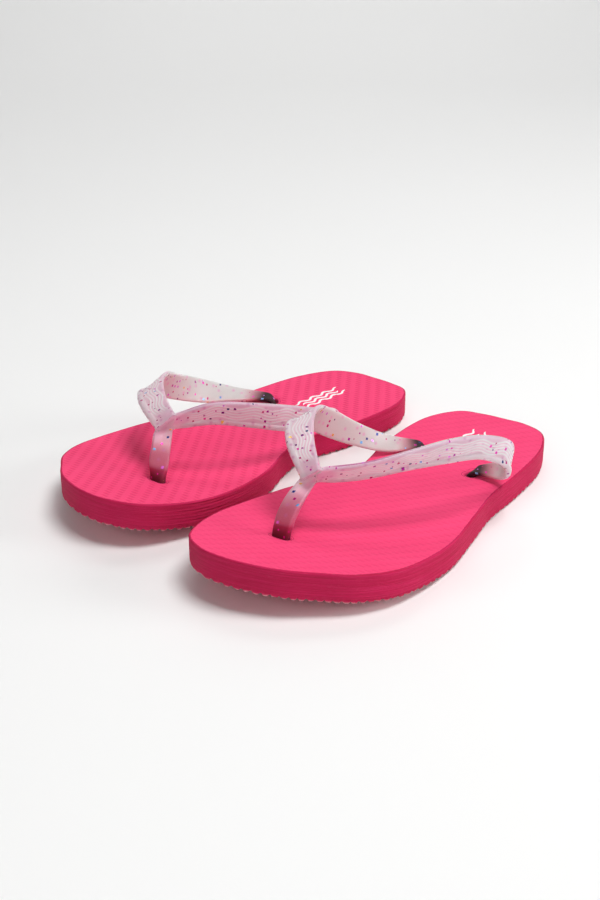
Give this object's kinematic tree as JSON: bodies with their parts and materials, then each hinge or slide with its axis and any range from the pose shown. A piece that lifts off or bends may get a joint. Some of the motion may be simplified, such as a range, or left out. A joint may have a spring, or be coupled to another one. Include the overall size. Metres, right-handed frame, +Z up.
{
  "type": "flip flops",
  "caption": "Pair of child's flip flops: flat foam soles curled up at the toe, each with a soft translucent Y-strap on a toe post, plugged through the sole.",
  "frame": {"origin": "middle of the pair's bounding box, on the floor", "axes": "+Z up; -Y the way the toes point, between the two shoes, which each turn out by 3 degrees; +X towards the left shoe"},
  "size_m": [0.1838, 0.2076, 0.0489],
  "materials": {
    "left_foam": "matte closed-cell foam with a fine moulded grain",
    "left_vinyl": "frosted translucent soft vinyl with glitter",
    "right_foam": "matte closed-cell foam with a fine moulded grain",
    "right_vinyl": "frosted translucent soft vinyl with glitter"
  },
  "bodies": {
    "left_heel": {"left_sole_heel": "left_foam", "left_strap": "left_vinyl"},
    "left_forefoot": {"left_sole_forefoot": "left_foam"},
    "right_heel": {"right_sole_heel": "right_foam", "right_strap": "right_vinyl"},
    "right_forefoot": {"right_sole_forefoot": "right_foam"}
  },
  "joints": [
    {"name": "left_toe_flex", "type": "hinge", "parent": "left_heel", "child": "left_forefoot", "pos_m": [0.04797, -0.03322, 0.01269], "axis": [-0.9986, -0.0523, 0], "range_deg": [0, 50], "stiffness_Nm_per_rad": 0.7, "deforming": ["left_strap"]},
    {"name": "right_shoe_lift", "type": "slide", "parent": "left_heel", "child": "right_heel", "axis": [0, 0, 1], "range_m": [0, 0.15]},
    {"name": "right_toe_flex", "type": "hinge", "parent": "right_heel", "child": "right_forefoot", "pos_m": [-0.04797, -0.02642, 0.01269], "axis": [-0.9986, 0.0523, 0], "range_deg": [0, 50], "stiffness_Nm_per_rad": 0.7, "deforming": ["right_strap"]}
  ]
}
